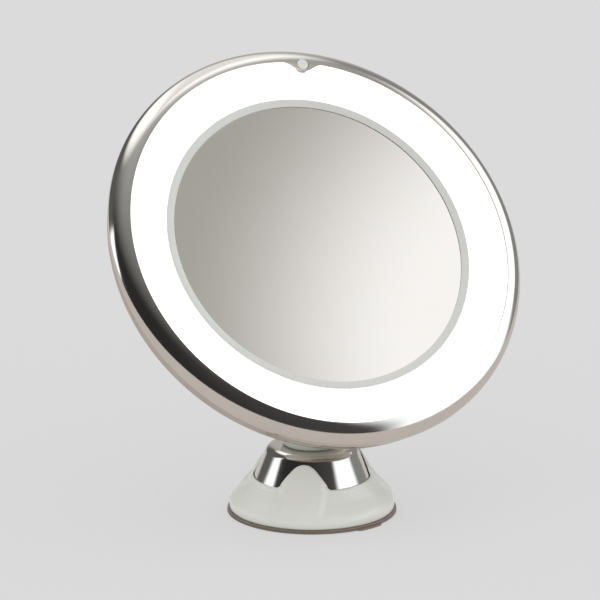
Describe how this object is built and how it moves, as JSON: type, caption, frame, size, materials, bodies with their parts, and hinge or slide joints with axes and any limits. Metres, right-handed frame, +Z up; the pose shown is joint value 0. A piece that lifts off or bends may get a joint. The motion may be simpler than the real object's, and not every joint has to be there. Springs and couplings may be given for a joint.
{
  "type": "lighted shaving mirror",
  "caption": "Round lighted magnifying mirror with a chrome rim, on a ball joint and a twist-lock suction base.",
  "frame": {"origin": "centre of the suction pad's underside, on the base axis", "axes": "+Z up along the base axis; -Y is the base's front, where one finger lobe points; the mirror at rest faces 34.2 degrees to the right of the front and looks 39 degrees up"},
  "size_m": [0.1878, 0.1639, 0.2031],
  "materials": {
    "chrome": "polished",
    "white_plastic": "gloss",
    "inner_plastic": "matte",
    "light_cover": "milky",
    "ring_plastic": "satin",
    "mirror": "polished",
    "foam": "matte",
    "circuit_board": "matte",
    "lamp": "gloss",
    "button_plastic": "satin",
    "switch_body": "matte",
    "nylon": "matte",
    "steel": "satin",
    "cell_jacket": "gloss",
    "pad_rubber": "gloss"
  },
  "bodies": {
    "base": {"suction_pad": "pad_rubber", "base_core": "inner_plastic", "chrome_cap": "chrome", "socket_collar": "white_plastic", "seat_washer": "steel"},
    "grip": {"grip_shell": "white_plastic", "cam_ring": "inner_plastic", "grip_screws": "steel"},
    "lifter": {"pull_stud": "steel", "cross_pin": "steel", "return_spring": "steel"},
    "swivel": {"ball_seat": "nylon"},
    "sleeve": {"ball_sleeve": "nylon"},
    "head": {"ball_stud": "steel", "neck_arm": "white_plastic", "arm_screws": "steel", "arm_plate": "steel", "rear_shell": "white_plastic", "shell_screws": "steel", "chrome_bezel": "chrome", "light_diffuser": "light_cover", "mirror_retaining_ring": "ring_plastic", "mirror_glass": "mirror", "mirror_cushion": "foam", "inner_frame": "inner_plastic", "led_board": "circuit_board", "leds": "lamp", "tact_switch": "switch_body", "battery_tray": "inner_plastic", "batteries": "cell_jacket", "battery_contacts": "steel", "battery_springs": "steel"},
    "button": {"power_button": "button_plastic", "switch_plunger": "button_plastic"},
    "door": {"battery_door": "white_plastic"}
  },
  "joints": [
    {"name": "grip_twist", "type": "hinge", "parent": "base", "child": "grip", "pos_m": [0, 0, 0.006], "axis": [0, 0, 1], "range_deg": [0, 90]},
    {"name": "stud_lift", "type": "slide", "parent": "base", "child": "lifter", "axis": [0, 0, 1], "range_m": [0, 0.00241], "deforming": ["return_spring"]},
    {"name": "ball_pan", "type": "hinge", "parent": "base", "child": "swivel", "pos_m": [0, 0, 0.038], "axis": [0, 0, 1], "continuous": true},
    {"name": "ball_tilt", "type": "hinge", "parent": "swivel", "child": "sleeve", "pos_m": [0, 0, 0.038], "axis": [0.8271, 0.5621, 0], "range_deg": [-22, 18]},
    {"name": "ball_roll", "type": "hinge", "parent": "sleeve", "child": "head", "pos_m": [0, 0, 0.038], "axis": [0.5621, -0.8271, 0], "range_deg": [-12, 12]},
    {"name": "button_press", "type": "slide", "parent": "head", "child": "button", "axis": [-0.4368, 0.6428, -0.6293], "range_m": [0, 0.0008], "stiffness_N_per_m": 900, "springref_m": -0.0006},
    {"name": "door_off", "type": "slide", "parent": "head", "child": "door", "axis": [-0.4368, 0.6428, -0.6293], "range_m": [0, 0.03]}
  ],
  "couplings": [
    {"joint": "stud_lift", "follows": "grip_twist", "m_per_rad": 0.0015279}
  ]
}
